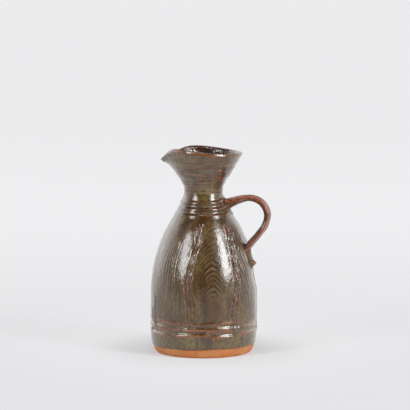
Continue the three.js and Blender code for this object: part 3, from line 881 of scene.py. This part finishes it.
# The inner face and the hollows between the drawn ridges are darkened as painted shade; the pulled streaks
# are darker at random.
shade_and_streaks = 0.8 * fade(-sv, 0.05, 0.7) + 0.35 * fade(-drawn, 0.1, 0.9) + 0.25 * fade(-pulled, 0.1, 0.5)
root_top = 0.7 * fade(sv, 0.2, 0.7) * (1 - fade(share, 0.04, 0.15))
# The thumb dent just above the nub is darkened as painted shade.
note(strap_coat, "umber_and_shade", on_strap * shade_and_streaks + root_top + 0.35 * tail * bell(low - 92.5, 1.2))

STRAP_RUST = (0.37, 0.09, 0.05, 1)
glaze_finish("rust_glaze", strap_coat, BROWN, OLIVE, STRAP_RUST, OLIVE, 0.5, 0.1, 0.4)
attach(strap_coat, "root")
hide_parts("handle_glaze")


# Root coil: a thin roll of soft clay worked in under the handle's root with a fingertip, glazed with the
# rest. The dents of the finger leave it lumpy.
COIL_SIDES = 24
COIL_STEPS = 110
COIL_HALF_THICKNESS = 1.9
COIL_ASIDE = 8.4
COIL_DROP = 6.4
seam = bar("root_coil_seam", COIL_SIDES, COIL_STEPS)
u, v, share = mesh_points(seam)
# Its way runs against the bar's own turn, so the section is mirrored, which keeps the faces outwards.
v = -v
sweep = math.pi * (0.96 + 1.08 * share)
lump = 1 + 0.25 * np.sin(share * 24) + 0.18 * np.sin(share * 41 + 1)
thick = COIL_HALF_THICKNESS * lump * np.sin(math.pi * np.clip(share, 0.02, 0.98)) ** 0.4
y = (COIL_ASIDE + u * thick * 1.5) * np.cos(sweep)
z = ROOT_HEIGHT - 0.8 + (COIL_DROP + u * thick * 1.5) * np.sin(sweep)
reach = coat_radius(z) - 0.1 + v * thick * 0.75
x = np.sqrt(np.maximum(reach**2 - y**2, 1))
tremor = soft_noise(x, y, z, 3, 9)
move_points(seam, x + 0.25 * tremor, y, z)
note(seam, "thin", 0.5 * fade(v, 0.2, 0.9) * (0.4 + tremor))
note(seam, "pool", 0.5 + 0.8 * tremor)
note(seam, "umber_and_shade", 0.6 * fade(-tremor, 0, 0.5))
glaze_finish("coil_glaze", seam, BROWN, OLIVE, RUST, OLIVE, 0.4, 0.3, 0.9)
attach(seam, "root")
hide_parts("root_coil")


# Table and backdrop: matt white board on the floor, and a white cove that curves up from it round the back
# and both sides.
COVE_RADIUS = 3.0
COVE_BEND = 0.9
COVE_HEIGHT = 2.4
COVE_ANGLE = math.radians(226)
VIEW_TURN = math.radians(16)
BOARD_WHITE = (0.8, 0.8, 0.805, 1)
BOARD_GLOW = (0.984, 0.984, 1, 1)
bpy.ops.object.select_all(action="DESELECT")
bpy.ops.mesh.primitive_circle_add(
    vertices=96, radius=COVE_RADIUS + 0.3, fill_type="NGON", location=(0, 0, 0)
)
board = bpy.context.object
board.name = "white_board"
bend = [
    (COVE_RADIUS - COVE_BEND + COVE_BEND * math.sin(t), COVE_BEND - COVE_BEND * math.cos(t))
    for t in np.linspace(0, math.pi / 2, 20)
]
cove = draw("white_cove", [(r / MM, h / MM) for r, h in bend + [(COVE_RADIUS, COVE_HEIGHT)]])
sweep_round(cove, COVE_ANGLE, 80)
bpy.ops.object.shade_smooth()
cove.rotation_euler = (0, 0, VIEW_TURN + math.pi / 2 - COVE_ANGLE / 2)
bpy.ops.object.transform_apply(location=True, rotation=True, scale=True)

white = Finish("matt_white")
white.shader.inputs["Base Color"].default_value = BOARD_WHITE
white.shader.inputs["Roughness"].default_value = 0.9
white.shader.inputs["Specular IOR Level"].default_value = 0.1


def away(direction):
    """How far a place on the board or the cove lies from the jug in one direction, in metres."""
    node = white.nodes.new("ShaderNodeVectorMath")
    node.operation = "DOT_PRODUCT"
    node.inputs[1].default_value = direction
    white.links.new(white.place, node.inputs[0])
    return node.outputs["Value"]


# The camera and the glaze see the white evenly lit: palest at the back, dimmer in front, with the jug's own
# shadow left round its foot. In the glaze the front is dark, as a room is, and the sides a little bright.
behind = away((-math.sin(VIEW_TURN), math.cos(VIEW_TURN), 0))
beside = away((math.cos(VIEW_TURN), math.sin(VIEW_TURN), 0))
distance = white.nodes.new("ShaderNodeVectorMath")
distance.operation = "LENGTH"
white.links.new(white.place, distance.inputs[0])
apart = distance.outputs["Value"]
light_path = white.nodes.new("ShaderNodeLightPath")
mirrored = light_path.outputs["Is Glossy Ray"]
depth_tone = white.spread(behind, -0.3, 1.1, 0.805, 0.99)
unlit = white.times(mirrored, white.spread(behind, -0.9, -0.1, 0.75, 0.0))
left_tone = white.spread(beside, -0.8, -0.45, 0.2, 0.0)
right_tone = white.spread(beside, 0.45, 0.8, 0.0, 0.05)
back_tone = white.spread(behind, 0.05, 0.45, 0.0, 0.15)
side_tone = white.times(mirrored, white.work("ADD", white.work("ADD", left_tone, right_tone), back_tone))
foot_tone = white.spread(apart, 0.05, 0.3, 0.05, 0.0)
near_tone = white.nodes.new("ShaderNodeMath")
near_tone.operation = "MULTIPLY_ADD"
white.links.new(depth_tone, near_tone.inputs[0])
white.links.new(white.work("SUBTRACT", 1.0, unlit), near_tone.inputs[1])
white.links.new(white.work("ADD", foot_tone, side_tone), near_tone.inputs[2])
glow = white.nodes.new("ShaderNodeEmission")
glow.inputs["Color"].default_value = BOARD_GLOW
white.links.new(near_tone.outputs["Value"], glow.inputs["Strength"])
seen = white.work("ADD", light_path.outputs["Is Camera Ray"], mirrored)
seen = white.work("ADD", seen, light_path.outputs["Is Transmission Ray"])
evened = white.times(seen, white.spread(apart, 0.045, 0.13, 0.42, 0.82))
blend = white.nodes.new("ShaderNodeMixShader")
white.links.new(evened, blend.inputs["Fac"])
white.links.new(white.shader.outputs[0], blend.inputs[1])
white.links.new(glow.outputs[0], blend.inputs[2])
white.links.new(blend.outputs[0], white.nodes["Material Output"].inputs["Surface"])
board.data.materials.append(white.material)
cove.data.materials.append(white.material)


# Light: two tall oval softboxes in front, left and right of the camera, one overhead, two wide dim panels
# a little behind the jug on both sides for its flanks, and a dim even room.
LAMP_WHITE = (0.965, 0.98, 1)
ROOM_LIGHT = 0.06
ROOM_SEEN = 0.86


def softbox(name, azimuth, distance, height, size, power):
    angle = VIEW_TURN + math.radians(azimuth)
    place = Vector((distance * math.sin(angle), -distance * math.cos(angle), height))
    aim = (Vector((0, 0, 0.1)) - place).to_track_quat("-Z", "Y").to_euler()
    bpy.ops.object.light_add(type="AREA", location=place, rotation=aim)
    lamp = bpy.context.object
    lamp.name = name
    lamp.data.shape = "ELLIPSE"
    lamp.data.size = size[0]
    lamp.data.size_y = size[1]
    lamp.data.energy = power
    lamp.data.color = LAMP_WHITE
    lamp.visible_camera = False


softbox("softbox_left", -49, 1.35, 0.7, (0.48, 1.05), 10.2)
softbox("softbox_right", 53, 1.35, 0.7, (0.46, 1.15), 17.3)
softbox("softbox_top", -12, 0.2, 1.5, (0.45, 0.5), 3.6)
softbox("panel_left", -124, 1.6, 0.7, (1.4, 1.4), 4.3)
softbox("panel_right", 128, 1.6, 0.7, (1.2, 1.4), 2.4)
world = bpy.data.worlds.new("room")
bpy.context.scene.world = world
world.use_nodes = True
room = world.node_tree.nodes["Background"]
room.inputs["Color"].default_value = (1, 1, 1, 1)
room_path = world.node_tree.nodes.new("ShaderNodeLightPath")
room_tone = world.node_tree.nodes.new("ShaderNodeMapRange")
room_tone.inputs["To Min"].default_value = ROOM_LIGHT
room_tone.inputs["To Max"].default_value = ROOM_SEEN
world.node_tree.links.new(room_path.outputs["Is Camera Ray"], room_tone.inputs["Value"])
world.node_tree.links.new(room_tone.outputs["Result"], room.inputs["Strength"])


# Camera: a long lens a little above the jug, with the handle turned towards it by sixteen degrees.
CAMERA_DISTANCE = 3.56
CAMERA_HEIGHT = 0.637
AIM_ASIDE = 0.0014
AIM_HEIGHT = 0.146
SENSOR_WIDTH = 36
LENS = 318.5
eye = Vector((CAMERA_DISTANCE * math.sin(VIEW_TURN), -CAMERA_DISTANCE * math.cos(VIEW_TURN), CAMERA_HEIGHT))
aim_point = Vector((AIM_ASIDE * math.cos(VIEW_TURN), AIM_ASIDE * math.sin(VIEW_TURN), AIM_HEIGHT))
bpy.ops.object.camera_add(location=eye, rotation=(aim_point - eye).to_track_quat("-Z", "Y").to_euler())
camera = bpy.context.object
camera.data.sensor_width = SENSOR_WIDTH
camera.data.lens = LENS
bpy.context.scene.camera = camera
bpy.context.scene.view_settings.view_transform = "Standard"
